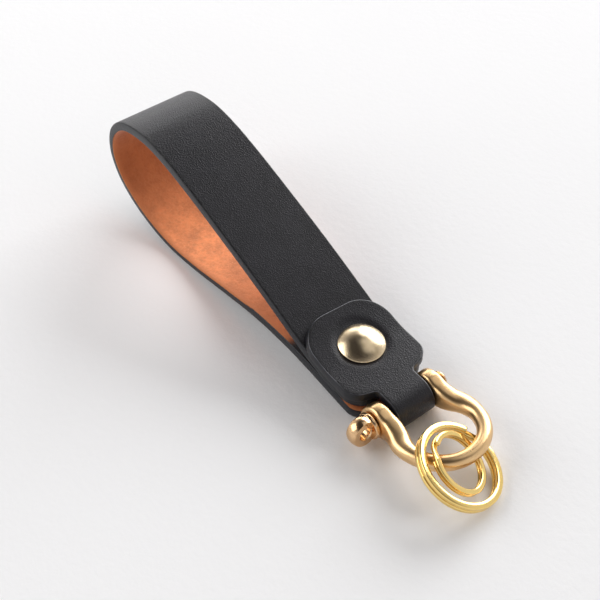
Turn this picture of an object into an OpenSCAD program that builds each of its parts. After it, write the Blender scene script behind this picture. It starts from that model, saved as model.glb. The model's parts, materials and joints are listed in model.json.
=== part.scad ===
// Leather wristlet keychain: one strap folded into a hand loop, held by a screw rivet,
// with a bow shackle through the folded nose and two split rings on the shackle's bow.
// Millimetres, +Z up. The strap lies along X, the shackle's pin along Y.
// The origin is under the middle of the whole object, on the surface it rests on.

/* [Strap] */
// Width of the strap in the hand loop
strap_w = 25; // [24:0.5:26]
// Thickness of the leather
leather_t = 3.0; // [2.8:0.1:3.0]
// Thickness of the leather where it is worked thin and supple at the back of the loop
bend_t = 2.2; // [2.1:0.1:2.4]
// Thickness of the leather where it is skived thin round the pin
nose_t = 2.6; // [2.4:0.1:2.6]
// Width of the flap on top, which is cut a little over the strap's width
flap_w = 25.6; // [25:0.1:26]
// Width of the neck that passes through the shackle
neck_w = 12; // [11:0.5:12]
// Sideways offset of the neck, which lies off the middle within the shackle's play
neck_y = -0.6; // [-0.8:0.1:-0.6]

/* [Rivet] */
// Diameter of the domed cap
cap_d = 13; // [12:0.5:13.5]
// Height of the dome over its rim
cap_h = 2.3; // [1.8:0.1:2.6]
// Diameter of the barrel under the cap
barrel_d = 5; // [4.5:0.1:5.2]
// Diameter of the screw's head on the underside
screw_head_d = 9; // [8:0.5:10]
// Lean of the rivet, which is square to the flap
rivet_lean = 7; // [6:0.5:8]

/* [Shackle] */
// Distance from the rivet to the shackle's pin
pin_x = 18.5; // [18.3:0.1:18.7]
// Height of the pin over the table
pin_z = 5.2; // [5.1:0.1:5.3]
// Sideways place of the shackle's middle
shackle_y = -1.0; // [-1.1:0.1:-0.9]
// Diameter of the pin's shank
pin_d = 4.9; // [4.7:0.1:4.9]
// Diameter of the round bar of the bow
bow_d = 4.2; // [4:0.1:4.2]
// Radius of the bow, to the middle of its bar
bow_r = 10.9; // [10.7:0.1:11]
// Distance from the pin's axis to the middle of the bow's round
bow_reach = 13.3; // [13:0.1:13.6]
// Clear gap between the two ears
ear_gap = 13.2; // [13:0.1:13.4]
// Thickness of each ear
ear_t = 4.4; // [4:0.1:4.6]
// Diameter of each ear
ear_d = 9.2; // [9:0.1:9.4]
// Angle by which the bow rises from its ears to its crown
bow_rise = 6.6; // [6:0.1:7]

/* [Pin head] */
// Diameter of the rounded head
head_d = 8.2; // [7.8:0.1:8.4]
// Thickness between the head's two flats
head_flat_t = 3.4; // [3.2:0.1:3.8]
// Diameter of the eye through the head
eye_d = 3.4; // [3:0.1:3.6]
// Angle of the eye's axis above level
eye_rise = 5; // [0:1:15]

/* [Split rings] */
// Radius of the large ring, to the middle of its wire
large_r = 11; // [10.9:0.05:11.1]
// Radius of the small ring, to the middle of its wire
small_r = 7.75; // [7.7:0.05:7.8]

/* [Hidden] */
$fn = 64;

// Running clearance of a pin in its hole, and the clearance of a loose hole, both on radius
running = 0.06;
loose = 0.15;
// Gap between the flap and the run it lies on
layer_gap = 0.08;
// A length longer than anything that is cut
far = 60;

// Middle line of the strap, as [x, z, thickness], from the hidden inner end, along the upper
// run, round the back of the loop and along the lower run to where the skived nose begins
loop_route = [
    [14.6, 5.55, leather_t], [7, 6.05, leather_t], [0, 6.85, leather_t], [-7, 8.95, leather_t],
    [-14, 12.1, leather_t], [-28, 18.7, leather_t], [-44, 25.5, leather_t], [-60, 31.8, leather_t],
    [-72, 35.6, leather_t], [-82, 36.9, leather_t], [-93, 34.8, 2.7], [-99.9, 28.6, 2.4],
    [-101.9, 20, bend_t], [-98.4, 11.8, bend_t], [-89.3, 5.3, bend_t], [-76, 1.6, bend_t],
    [-62, 1.9, bend_t], [-44, 4.5, 2.5], [-30, 6.1, 2.7], [-16, 6.0, 2.9],
    [-6, 4.75, leather_t], [3, 3.2, leather_t], [11, 2.0, 2.9]
];
// Middle line of the flap, from behind the nose back over the rivet to its free end, where it
// lies on the upper run
flap_route = concat(
    [[12.5, 9.15, 2.9], [6, 9.4, leather_t]],
    [
        for (i = [2 : 4])
            let (c = flat(loop_route[i]) + right_of(loop_route, i) * (leather_t + layer_gap))
            [c[0], c[1], leather_t]
    ]
);
// The nose is a half turn round the pin
nose_r = pin_d / 2 + loose + nose_t / 2;
nose_steps = 12;
nose_route = [
    for (i = [0 : nose_steps])
        let (a = -90 + 180 * i / nose_steps)
        [pin_x + nose_r * cos(a), pin_z + nose_r * sin(a), nose_t]
];
strap_route = concat(loop_route, nose_route, flap_route);

// Where the strap is divided, so that each layer is cut to its own outline
lower_split = 18;
nose_split = len(loop_route) + nose_steps / 2;

// Corners of each layer's cut outline, as [x, y, corner radius]
inner_outline = [
    [-far * 2, -strap_w / 2, 0], [13.2, -strap_w / 2, 6],
    [13.2, strap_w / 2, 6], [-far * 2, strap_w / 2, 0]
];
flap_outline = [
    [-12.4, -flap_w / 2, 8.5], [11.6, -flap_w / 2, 5], [13.9, neck_y - neck_w / 2, 1.8],
    [far, neck_y - neck_w / 2, 0], [far, neck_y + neck_w / 2, 0],
    [13.9, neck_y + neck_w / 2, 1.8], [11.6, flap_w / 2, 5], [-11, flap_w / 2, 10]
];
bottom_outline = [
    [-far, -strap_w / 2, 0], [12, -strap_w / 2, 4], [13.9, neck_y - neck_w / 2, 1.8],
    [far, neck_y - neck_w / 2, 0], [far, neck_y + neck_w / 2, 0],
    [13.9, neck_y + neck_w / 2, 1.8], [12, strap_w / 2, 4], [-far, strap_w / 2, 0]
];

// Rivet: heights along its own axis, from the table plane under it
cap_seat = 11.2;
screw_seat = 2.3;
screw_head_t = 1.4;
screw_shank_d = 3;
slot_w = 1;

// Shackle: the ears stand half a gap and half a thickness off its middle
ear_y = ear_gap / 2 + ear_t / 2;
// The bow's bar runs this far round on each side of the crown, then bends back to the ear
bow_sweep = 115;
// A ball a little over the bar, with its axis along it, joins the bars where two bends meet
join_d = bow_d + 0.06;

// Pin: distances from the shackle's middle along Y
head_y = -14.6;
tip_y = 13.2;
collar_d = 6.4;

// Split rings: [middle, compass bearing and lean of the ring's axis]
large_pose = [[42.65, -5.1, 6.55], 40.9, 27.8];
small_pose = [[42.37, -5.2, 7.68], 44.6, 38.4];
// Wire of each ring, as [radial size, axial size of one turn]
large_wire = [1.9, 1.3];
small_wire = [1.5, 0.9];

// Middle of the whole object, which moves to the origin
middle_x = -24.45;
middle_y = -3.45;

// ---- Curves ----

// Running length of a route up to point i
function length_to(p, i) = i == 0 ? 0 : length_to(p, i - 1) + norm(flat(p[i] - p[i - 1]));
function flat(v) = [v[0], v[1]];

// Slope of a smooth route at point i, from its neighbours
function slope_at(p, i) =
    let (a = max(i - 1, 0), b = min(i + 1, len(p) - 1))
    (p[b] - p[a]) / (length_to(p, b) - length_to(p, a));

// Point on the smooth route between points i and i + 1
function on_route(p, i, u) =
    let (h = length_to(p, i + 1) - length_to(p, i))
    p[i] * (2 * u * u * u - 3 * u * u + 1) + p[i + 1] * (3 * u * u - 2 * u * u * u)
    + slope_at(p, i) * h * (u * u * u - 2 * u * u + u) + slope_at(p, i + 1) * h * (u * u * u - u * u);

// Smooth route from point a to point b, with finer steps on its long spans
function smooth_route(p, a, b) = concat(
    [
        for (i = [a : b - 1])
            let (n = norm(flat(p[i + 1] - p[i])) > 3 ? 5 : 1)
            for (k = [0 : n - 1]) on_route(p, i, k / n)
    ],
    [p[b]]
);

// Unit vector to the right of the way a line of points runs at point i
function right_of(q, i) =
    let (a = max(i - 1, 0), b = min(i + 1, len(q) - 1), d = flat(q[b] - q[a]))
    [d[1], -d[0]] / norm(d);

// Side outline of a strip of leather along a line of points
function strip_outline(q) = concat(
    [for (i = [0 : len(q) - 1]) flat(q[i]) + right_of(q, i) * q[i][2] / 2],
    [for (i = [len(q) - 1 : -1 : 0]) flat(q[i]) - right_of(q, i) * q[i][2] / 2]
);

// Outline whose corners, given as [x, y, radius], are rounded with arcs
function rounded(c) = [
    for (i = [0 : len(c) - 1])
        let (
            n = len(c), p = flat(c[i]), r = c[i][2],
            u = flat(c[(i + n - 1) % n]) - p, v = flat(c[(i + 1) % n]) - p,
            a = u / norm(u), b = v / norm(v), half = acos(a * b) / 2,
            m = p + (a + b) / norm(a + b) * r / sin(half),
            s = p + a * r / tan(half) - m, e = p + b * r / tan(half) - m
        )
        for (k = [0 : r > 0 ? 8 : 0])
            r > 0 ? m + (s * sin((90 - half) * 2 * (1 - k / 8)) + e * sin((90 - half) * 2 * k / 8))
                / sin((90 - half) * 2) : p
];

// ---- Shared shapes ----

// Puts the object's middle on the origin
module placed() {
    translate([-middle_x, -middle_y, 0]) children();
}

// A stretch of the strap, from route point a to b, cut to an outline seen from above
module strap_stretch(a, b, outline) {
    intersection() {
        translate([0, far / 2, 0])
            rotate([90, 0, 0])
                linear_extrude(far) polygon(strip_outline(smooth_route(strap_route, a, b)));
        translate([0, 0, -1])
            linear_extrude(far) polygon(rounded(outline));
    }
}

// The rivet's own upright frame, which leans so that its cap sits over x = 0
module on_rivet() {
    translate([-cap_seat * sin(rivet_lean), 0, 0]) rotate([0, rivet_lean, 0]) children();
}

// The pin's own frame: its axis along Z, pointing to the far ear, X up along the eye's axis
module on_pin() {
    translate([pin_x, shackle_y, pin_z]) rotate([-90, 0, 0]) children();
}

// The bow's own frame: X from the pin to the crown, Z off the bow's plane
module on_bow() {
    translate([pin_x, shackle_y, pin_z]) rotate([0, -bow_rise, 0]) children();
}

// Part of a round bar bent to radius r about the origin, from angle a to b
module bent_bar(r, a, b, d) {
    rotate([0, 0, a])
        rotate_extrude(angle = b - a, $fn = 96) translate([r, 0]) circle(d = d, $fn = 48);
}

// Two turns of flat wire lying on each other, with a fine groove where they meet
module split_ring(r, wire) {
    ri = r - wire[0] / 2;
    ro = r + wire[0] / 2;
    h = wire[1];
    c = 0.4;
    g = 0.15;
    rotate_extrude($fn = 128) polygon([
        [ri + c, -h], [ro - c, -h], [ro, -h + c], [ro, -g], [ro - g, 0], [ro, g], [ro, h - c],
        [ro - c, h], [ri + c, h], [ri, h - c], [ri, g], [ri + g, 0], [ri, -g], [ri, -h + c]
    ]);
}

// A ring's place and lean
module at_pose(pose) {
    translate(pose[0]) rotate([0, pose[2], pose[1]]) children();
}

// ---- Sub-parts ----

module leather_strap() {
    color([0.09, 0.09, 0.10])
    placed()
    difference() {
        union() {
            strap_stretch(0, lower_split, inner_outline);
            strap_stretch(lower_split, nose_split, bottom_outline);
            strap_stretch(nose_split, len(strap_route) - 1, flap_outline);
        }
        on_rivet() {
            cylinder(d = barrel_d + 2 * loose, h = far, center = true);
            translate([0, 0, cap_seat]) cylinder(d = cap_d + 2 * loose, h = 5);
            translate([0, 0, screw_seat - 5]) cylinder(d = screw_head_d + 2 * loose, h = 5);
        }
    }
}

module rivet_post() {
    dome_r = (cap_d * cap_d / 4 + cap_h * cap_h) / (2 * cap_h);
    rim_t = 0.6;
    color([0.78, 0.68, 0.50])
    placed()
    on_rivet()
    difference() {
        union() {
            translate([0, 0, cap_seat]) cylinder(d = cap_d, h = rim_t);
            intersection() {
                translate([0, 0, cap_seat + rim_t + cap_h - dome_r]) sphere(r = dome_r, $fn = 128);
                translate([0, 0, cap_seat + rim_t]) cylinder(d = cap_d, h = cap_h + 1);
            }
            translate([0, 0, screw_seat + 0.2]) cylinder(d = barrel_d, h = cap_seat - screw_seat);
        }
        translate([0, 0, screw_seat]) cylinder(d = screw_shank_d + 2 * running, h = 6.5);
    }
}

module rivet_screw() {
    slot_deep = 0.6;
    color([0.74, 0.62, 0.42])
    placed()
    on_rivet()
    difference() {
        union() {
            translate([0, 0, screw_seat - screw_head_t]) cylinder(d = screw_head_d, h = screw_head_t);
            translate([0, 0, screw_seat - 0.1]) cylinder(d = screw_shank_d, h = 6);
        }
        translate([-slot_w / 2, -screw_head_d, screw_seat - screw_head_t - 1])
            cube([slot_w, 2 * screw_head_d, slot_deep + 1]);
    }
}

module shackle_bow() {
    turn_back = bow_sweep - 90;
    sweep_end = [bow_reach + bow_r * cos(bow_sweep), bow_r * sin(bow_sweep)];
    back_bend_r = (sweep_end[1] - ear_y) / (1 - cos(turn_back));
    straight_from = sweep_end[0] - back_bend_r * sin(turn_back);
    color([0.80, 0.66, 0.42])
    placed()
    difference() {
        on_bow() {
            translate([bow_reach, 0, 0]) bent_bar(bow_r, -bow_sweep, bow_sweep, bow_d);
            for (side = [-1, 1]) {
                back_bend_from = side > 0 ? -90 : 90 - turn_back;
                translate([sweep_end[0], side * sweep_end[1], 0])
                    rotate([0, 90, side * turn_back]) sphere(d = join_d);
                translate([straight_from, side * ear_y, 0])
                    rotate([0, 90, 0]) sphere(d = join_d);
                translate([straight_from, side * (ear_y + back_bend_r), 0])
                    bent_bar(back_bend_r, back_bend_from, back_bend_from + turn_back, bow_d);
                translate([0, side * ear_y, 0]) {
                    rotate([0, 90, 0]) cylinder(d = bow_d, h = straight_from);
                    rotate([90, 0, 0]) cylinder(d = ear_d, h = ear_t, center = true);
                }
            }
        }
        on_pin() cylinder(d = pin_d + 2 * running, h = far, center = true);
    }
}

module shackle_pin() {
    color([0.76, 0.58, 0.36])
    placed()
    on_pin()
    rotate([0, 0, -eye_rise])
    difference() {
        union() {
            translate([0, 0, head_y]) cylinder(d = pin_d, h = tip_y - head_y - 0.5);
            translate([0, 0, tip_y - 0.5]) cylinder(d1 = pin_d, d2 = pin_d - 1, h = 0.5);
            translate([0, 0, head_y]) sphere(d = head_d, $fn = 96);
            translate([0, 0, -ear_y - ear_t / 2 - 0.9]) cylinder(d = collar_d, h = 0.8);
        }
        for (side = [0, 1]) mirror([side, 0, 0])
            translate([head_flat_t / 2, -head_d, head_y - head_d])
                cube([head_d, 2 * head_d, head_d + 2.6]);
        translate([0, 0, head_y])
            rotate([0, 90, 0]) cylinder(d = eye_d, h = far, center = true);
    }
}

module large_split_ring() {
    color([0.90, 0.72, 0.32])
    placed()
    at_pose(large_pose) split_ring(large_r, large_wire);
}

module small_split_ring() {
    color([0.90, 0.72, 0.32])
    placed()
    at_pose(small_pose) split_ring(small_r, small_wire);
}

leather_strap();
rivet_post();
rivet_screw();
shackle_bow();
shackle_pin();
large_split_ring();
small_split_ring();
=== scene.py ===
"""Looks of a leather wristlet keychain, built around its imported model.

A strap of black leather is cut flat, bevelled and bent on a line, and closed by a screw rivet.
A brass bow shackle passes through its folded nose and carries two split rings.
Lengths are in metres; the strap's line is in millimetres from the rivet, as a maker draws it.
"""

import json
import math

import bmesh
import bpy
import numpy as np
from mathutils import Matrix, Vector


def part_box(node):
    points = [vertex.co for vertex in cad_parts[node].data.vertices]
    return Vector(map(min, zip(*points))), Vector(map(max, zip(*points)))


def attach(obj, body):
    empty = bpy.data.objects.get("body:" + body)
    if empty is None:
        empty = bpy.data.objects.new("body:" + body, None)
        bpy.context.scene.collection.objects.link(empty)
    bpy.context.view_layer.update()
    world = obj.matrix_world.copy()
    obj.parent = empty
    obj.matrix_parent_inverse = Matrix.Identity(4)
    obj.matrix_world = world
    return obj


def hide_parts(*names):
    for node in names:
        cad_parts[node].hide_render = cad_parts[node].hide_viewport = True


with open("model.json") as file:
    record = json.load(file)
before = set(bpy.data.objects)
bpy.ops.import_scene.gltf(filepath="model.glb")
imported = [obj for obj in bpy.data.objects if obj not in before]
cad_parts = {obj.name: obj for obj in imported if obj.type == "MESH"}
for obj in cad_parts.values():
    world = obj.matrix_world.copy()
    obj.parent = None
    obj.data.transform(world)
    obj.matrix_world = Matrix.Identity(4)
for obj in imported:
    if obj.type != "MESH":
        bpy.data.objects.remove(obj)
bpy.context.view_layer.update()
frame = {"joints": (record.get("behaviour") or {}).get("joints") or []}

bl_info = {
    "name": "Leather wristlet keychain",
    "version": (1, 0, 0),
    "blender": (4, 5, 0),
    "location": "3D View > Sidebar > Wristlet",
    "description": "Builds the strap, rivet, shackle, pin and split rings of a leather wristlet",
    "category": "Object",
}

MM = 0.001
JOINTS = {joint["name"]: joint for joint in frame["joints"]}
PIN_PLACE = Vector(JOINTS["shackle_swing"]["pos_m"])
STRAP_LOW, STRAP_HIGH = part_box("leather_strap")


# ---- Sizes and colours that a user would change ----


def length(name, description, default):
    """A length property in metres, given in millimetres."""
    return bpy.props.FloatProperty(
        name=name,
        description=description,
        default=default * MM,
        precision=5,
        unit="LENGTH",
        subtype="DISTANCE",
    )


def angle(name, description, default):
    """An angle property, given in degrees."""
    return bpy.props.FloatProperty(
        name=name,
        description=description,
        default=math.radians(default),
        unit="ROTATION",
        subtype="ANGLE",
    )


def colour(name, description, default):
    """A colour property in linear red, green and blue."""
    return bpy.props.FloatVectorProperty(
        name=name,
        description=description,
        default=default,
        size=3,
        min=0.0,
        max=1.0,
        subtype="COLOR",
    )


def coil_hand(name, description, default):
    """Which way a ring's wire climbs: 1 to the left, -1 to the right."""
    return bpy.props.IntProperty(name=name, description=description, default=default, min=-1, max=1)


class StrapSizes(bpy.types.PropertyGroup):
    """Sizes and colours of the leather strap."""

    width: length("Width", "Width of the strap in the hand loop", 25.0)
    flap_width: length("Flap width", "Width of the flap that the rivet holds", 26.1)
    flap_offset: length("Flap offset", "Sideways place of the flap from the strap's middle", -0.25)
    neck_width: length("Neck width", "Width of the neck that passes through the shackle", 12.0)
    neck_offset: length("Neck offset", "Sideways place of the neck from the strap's middle", -0.6)
    flap_turn: angle("Flap turn", "Turn of the flap about the rivet, seen from above", -1.5)
    edge_round: length("Edge round", "Round worked on the strap's edges", 0.38)
    pin_reach: length("Rivet to pin", "Distance from the rivet to the shackle's pin", 18.5)
    grain: colour("Grain", "Colour of the dyed grain side", (0.0098, 0.0088, 0.0118))
    ink: colour("Edge ink", "Colour of the inked, burnished edge", (0.010, 0.011, 0.014))
    flesh: colour("Flesh", "Colour of the natural flesh side", (0.90, 0.32, 0.12))


class RivetSizes(bpy.types.PropertyGroup):
    """Sizes and colour of the screw rivet."""

    cap_width: length("Cap width", "Diameter of the domed cap", 13.0)
    cap_height: length("Cap height", "Height of the dome over its rim", 2.3)
    lean: angle("Lean", "Lean of the rivet, which stands square to the flap", 7.0)
    screw_width: length("Screw width", "Diameter of the slotted screw's head", 9.0)
    slot_width: length("Slot width", "Width of the screwdriver slot", 1.0)
    brass: colour("Brass", "Colour of the cap's pale brass", (0.80, 0.645, 0.43))


class ShackleSizes(bpy.types.PropertyGroup):
    """Sizes and colours of the bow and its pin."""

    reach: length("Reach", "Distance from the pin to the middle of the bow's round", 13.3)
    radius: length("Radius", "Radius of the bow to the middle of its bar", 10.9)
    ear_place: length("Ear place", "Distance of each ear's middle from the bow's middle", 8.8)
    ear_width: length("Ear width", "Diameter of each forged ear", 9.2)
    ear_thickness: length("Ear thickness", "Thickness of each ear", 4.4)
    shoulder: length("Shoulder", "Width of the bar at its forged shoulders", 5.6)
    crown: length("Crown", "Width of the bar at its crown", 3.9)
    rise: angle("Rise", "Angle by which the bow rises from ears to crown", 6.6)
    pin_width: length("Pin width", "Diameter of the pin's shank", 4.9)
    head_width: length("Head width", "Diameter of the pin's rounded head", 8.2)
    head_thickness: length("Head thickness", "Thickness between the head's flats", 3.4)
    eye_width: length("Eye width", "Diameter of the eye through the head", 3.4)
    eye_rise: angle("Eye rise", "Angle of the eye's axis above level", 5.0)
    bow_brass: colour("Bow brass", "Colour of the bow's satin brass", (0.80, 0.54, 0.275))
    pin_brass: colour("Pin brass", "Colour of the pin's warmer brass", (0.84, 0.56, 0.31))


class RingSizes(bpy.types.PropertyGroup):
    """Sizes, leans and colour of the split rings."""

    large_radius: length("Large radius", "Radius of the large ring to the middle of its wire", 11.0)
    large_wire: length("Large wire", "Radial size of the large ring's wire", 1.9)
    large_turn: length("Large turn", "Thickness of one turn of the large ring", 1.3)
    large_bearing: angle("Large bearing", "Compass bearing of the large ring's axis", 40.9)
    large_lean: angle("Large lean", "Lean of the large ring's axis from upright", 27.8)
    large_opening: angle("Large opening", "Where round the large ring its wire ends", 71.0)
    large_hand: coil_hand("Large hand", "1 if the large ring's wire climbs left, -1 if right", -1)
    small_radius: length("Small radius", "Radius of the small ring to the middle of its wire", 7.75)
    small_wire: length("Small wire", "Radial size of the small ring's wire", 1.5)
    small_turn: length("Small turn", "Thickness of one turn of the small ring", 0.9)
    small_bearing: angle("Small bearing", "Compass bearing of the small ring's axis", 44.6)
    small_lean: angle("Small lean", "Lean of the small ring's axis from upright", 38.4)
    small_opening: angle("Small opening", "Where round the small ring its wire ends", 187.0)
    small_hand: coil_hand("Small hand", "1 if the small ring's wire climbs left, -1 if right", 1)
    gold: colour("Gold", "Colour of the rings' bright brass", (0.95, 0.69, 0.25))


class StageSizes(bpy.types.PropertyGroup):
    """Floor colour and camera."""

    floor: colour("Floor", "Colour of the floor", (0.93, 0.93, 0.94))
    lens: bpy.props.FloatProperty(
        name="Lens", description="Focal length in millimetres", default=66.56, min=10.0
    )
    distance: length("Camera distance", "Distance from the camera to the point it looks at", 320.29)
    heading: angle("Camera heading", "Compass bearing that the camera looks along", 142.54)
    pitch: angle("Camera pitch", "Angle that the camera looks down by", 45.25)
    roll: angle("Camera roll", "Roll of the camera", -1.442)


# ---- Material maths ----


class Value:
    """One output in a material's nodes. Arithmetic on it adds Math nodes."""

    def __init__(self, finish, socket):
        self.finish = finish
        self.socket = socket

    def math(self, operation, *values):
        """A Math node on this value's tree."""
        return self.finish.node("ShaderNodeMath", {"operation": operation}, dict(enumerate(values)))

    def __add__(self, other):
        return self.math("ADD", self, other)

    def __radd__(self, other):
        return self.math("ADD", other, self)

    def __sub__(self, other):
        return self.math("SUBTRACT", self, other)

    def __rsub__(self, other):
        return self.math("SUBTRACT", other, self)

    def __mul__(self, other):
        return self.math("MULTIPLY", self, other)

    def step(self, low, high):
        """0 below low and 1 above high, smooth between."""
        settings = {"interpolation_type": "SMOOTHSTEP"}
        inputs = {"Value": self, "From Min": low, "From Max": high}
        return self.finish.node("ShaderNodeMapRange", settings, inputs)


class Finish:
    """A material, its Principled shader and the nodes that feed it."""

    def __init__(self, name, **shader):
        self.material = bpy.data.materials.new(name)
        self.material.use_nodes = True
        self.tree = self.material.node_tree
        self.shader = self.tree.nodes["Principled BSDF"]
        self.set(**shader)
        self.place = self.node("ShaderNodeTexCoord", {}, {}, "Object")

    def feed(self, node, inputs):
        """Sets or links a node's inputs, by name or number."""
        for key, value in inputs.items():
            socket = node.inputs[key]
            if isinstance(value, Value):
                self.tree.links.new(value.socket, socket)
            elif socket.type == "RGBA" and len(value) == 3:
                socket.default_value = (*value, 1.0)
            else:
                socket.default_value = value

    def node(self, kind, settings, inputs, output=0):
        """Adds a node: its settings first, then its inputs. Ramp stops are (place, colour) pairs."""
        node = self.tree.nodes.new(kind)
        for key, value in settings.items():
            if key == "stops":
                self.set_stops(node.color_ramp, value)
            else:
                setattr(node, key, value)
        self.feed(node, inputs)
        return Value(self, node.outputs[output])

    @staticmethod
    def set_stops(ramp, stops):
        """Gives a colour ramp its stops."""
        while len(ramp.elements) < len(stops):
            ramp.elements.new(0.5)
        for element, (place, shade) in zip(ramp.elements, stops):
            element.position = place
            element.color = (*shade, 1.0)

    def set(self, **inputs):
        """Sets or links inputs of the Principled shader, such as Base_Color."""
        self.feed(self.shader, {key.replace("_", " "): value for key, value in inputs.items()})

    def noise(self, scale, detail=3.0, roughness=0.55, where=None):
        """Noise with features about 1/scale metres across."""
        inputs = {"Vector": where or self.place, "Scale": scale, "Detail": detail, "Roughness": roughness}
        return self.node("ShaderNodeTexNoise", {}, inputs)

    def cells(self, scale, feature="SMOOTH_F1"):
        """Distance within cells about 1/scale metres across."""
        inputs = {"Vector": self.place, "Scale": scale}
        return self.node("ShaderNodeTexVoronoi", {"feature": feature}, inputs)

    def attribute(self, name):
        """A number that the piece's mesh carries at each point."""
        return self.node("ShaderNodeAttribute", {"attribute_name": name}, {}, "Fac")

    def mix(self, factor, first, second):
        """Two colours mixed by a factor."""
        settings = {"data_type": "RGBA", "clamp_factor": True}
        return self.node("ShaderNodeMix", settings, {0: factor, 6: first, 7: second}, 2)

    def bump(self, height, distance, strength):
        """A bumped normal: height 0 to 1 stands for the distance in metres."""
        inputs = {"Height": height, "Distance": distance, "Strength": strength}
        return self.node("ShaderNodeBump", {}, inputs)


def shade(rgb, factor):
    """A colour made darker or lighter."""
    return tuple(min(channel * factor, 1.0) for channel in rgb)


def black_grain(strap):
    """Dyed grain: fine pebbles and cloudy tone, with painted shade along the cut edges and a painted
    highlight on the flap's crest.
    """
    finish = Finish("black_grain", Specular_IOR_Level=0.38)
    cloud = finish.noise(160.0, 4.0)
    pebble = finish.cells(3100.0)
    pore = finish.noise(6200.0, 2.0)
    edge = finish.attribute("rim")
    rim = edge.step(0.0002, 0.0013)
    tone = finish.mix(cloud.step(0.3, 0.75), shade(strap.grain, 0.75), shade(strap.grain, 1.3))
    tone = finish.mix((pebble * pore).step(0.1, 0.5), tone, shade(strap.grain, 1.9))
    # Painted shade: darkens the grain within about a millimetre of the cut edge, for the shadow line at its
    # rounded corner
    tone = finish.mix(rim, shade(strap.grain, 0.55), tone)
    # Painted highlight: a lighter line on the flap's crest, for the sheen where light grazes the edge
    crest = 1.0 - edge.step(0.00016, 0.00034)
    rubbed = finish.attribute("rubbed") * crest * cloud.step(0.3, 0.6)
    tone = finish.mix(rubbed, tone, (0.16, 0.16, 0.18))
    height = pebble.step(0.1, 0.75) * 0.7 + pore * 0.5
    finish.set(
        Base_Color=tone,
        Roughness=0.27 + cloud * 0.08 + pore * 0.14,
        Normal=finish.bump(height, 0.000062, 0.85),
    )
    return finish.material


def inked_edge(strap):
    """Burnished edge: dark ink from the grain side, bare fibre left where the ink stops."""
    finish = Finish("inked_edge", Specular_IOR_Level=0.32)
    fibre = finish.noise(900.0, 4.0)
    rub = finish.noise(260.0, 3.0)
    depth = finish.attribute("depth")
    line = finish.attribute("ink_line")
    inked = (depth - line + (fibre - 0.5) * 0.22).step(-0.03, 0.06)
    ink = finish.mix(rub, shade(strap.ink, 0.7), shade(strap.ink, 1.7))
    bare = finish.mix(fibre, shade(strap.flesh, 0.38), shade(strap.flesh, 0.8))
    finish.set(
        Base_Color=finish.mix(inked, bare, ink),
        Roughness=0.72 - inked * 0.4 + rub * 0.1,
        Normal=finish.bump(fibre, 0.00009, 0.7),
    )
    return finish.material


def tan_flesh(strap):
    """Flesh side: mottled tan with a short nap, darker at its edges, with painted shade deep in the loop,
    and inked where runs meet, which also paints shade over the gap between them.
    """
    finish = Finish("tan_flesh", Specular_IOR_Level=0.22, Sheen_Weight=0.25, Sheen_Roughness=0.5)
    cloud = finish.noise(170.0, 5.0, 0.6)
    nap = finish.noise(1500.0, 4.0, 0.7)
    fleck = finish.cells(700.0, "F1")
    deep = finish.attribute("loop_depth")
    edge = finish.attribute("rim")
    rim = edge.step(0.0, 0.0022)
    sealed = finish.attribute("sealed") * (1.0 - edge.step(0.0022, 0.0036))
    tone = finish.mix(cloud.step(0.28, 0.72), shade(strap.flesh, 0.64), shade(strap.flesh, 1.04))
    tone = finish.mix(nap.step(0.42, 0.75) * 0.5, tone, (0.92, 0.42, 0.19))
    tone = finish.mix(fleck.step(0.5, 0.2) * 0.18, tone, shade(strap.flesh, 0.4))
    # Painted shade deep in the loop and towards the rivet
    tone = finish.mix(deep * 0.75, tone, (0.30, 0.085, 0.024))
    tone = finish.mix(rim, shade(strap.flesh, 0.6), tone)
    # Ink where the runs meet, and also painted shade over the gap between them
    tone = finish.mix(sealed, tone, shade(strap.ink, 0.8))
    finish.set(
        Base_Color=tone,
        Roughness=0.82 + nap * 0.15,
        Normal=finish.bump(nap + fleck * 0.4, 0.00012, 0.8),
    )
    return finish.material


def worked_brass(name, tint, roughness, tarnish, bump):
    """Brass with a fine satin surface, cloudy tarnish and small handling marks."""
    finish = Finish(name, Metallic=1.0)
    satin = finish.noise(2600.0, 3.0, 0.6)
    cloud = finish.noise(230.0, 4.0, 0.6)
    marks = finish.noise(900.0, 5.0, 0.75)
    red, green, blue = tint
    dull = shade((red, green * 0.84, blue * 0.66), 0.72)
    tone = finish.mix(cloud.step(0.35, 0.8) * tarnish, tint, dull)
    tone = finish.mix(marks.step(0.62, 0.85) * 0.09, tone, shade(tint, 0.62))
    finish.set(
        Base_Color=tone,
        Roughness=roughness + cloud * 0.08 + (satin - 0.5) * 0.10,
        Normal=finish.bump(satin + marks * 0.6, bump, 0.9),
    )
    return finish.material


# ---- Mesh helpers ----


def turned(bm, profile, steps=96):
    """A lathe-turned solid about Z from a profile of (radius, height) points."""
    points = [bm.verts.new((radius, 0.0, height)) for radius, height in profile]
    edges = [bm.edges.new(pair) for pair in zip(points, points[1:])]
    bmesh.ops.spin(
        bm,
        geom=points + edges,
        cent=(0, 0, 0),
        axis=(0, 0, 1),
        angle=math.tau,
        steps=steps,
        use_merge=True,
    )
    bmesh.ops.remove_doubles(bm, verts=bm.verts, dist=1e-7)
    bmesh.ops.recalc_face_normals(bm, faces=bm.faces)


def formed(bm, along, around, place):
    """A grid rolled into a closed tube: place(u, w) says where each point goes, u along, w round."""
    grid = bmesh.ops.create_grid(bm, x_segments=along, y_segments=around, size=1.0)
    for point in grid["verts"]:
        point.co = place((point.co.x + 1) / 2, (point.co.y + 1) / 2)
    bmesh.ops.remove_doubles(bm, verts=grid["verts"], dist=1e-7)
    bmesh.ops.holes_fill(bm, edges=[edge for edge in bm.edges if edge.is_boundary])
    bmesh.ops.recalc_face_normals(bm, faces=bm.faces)


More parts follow.
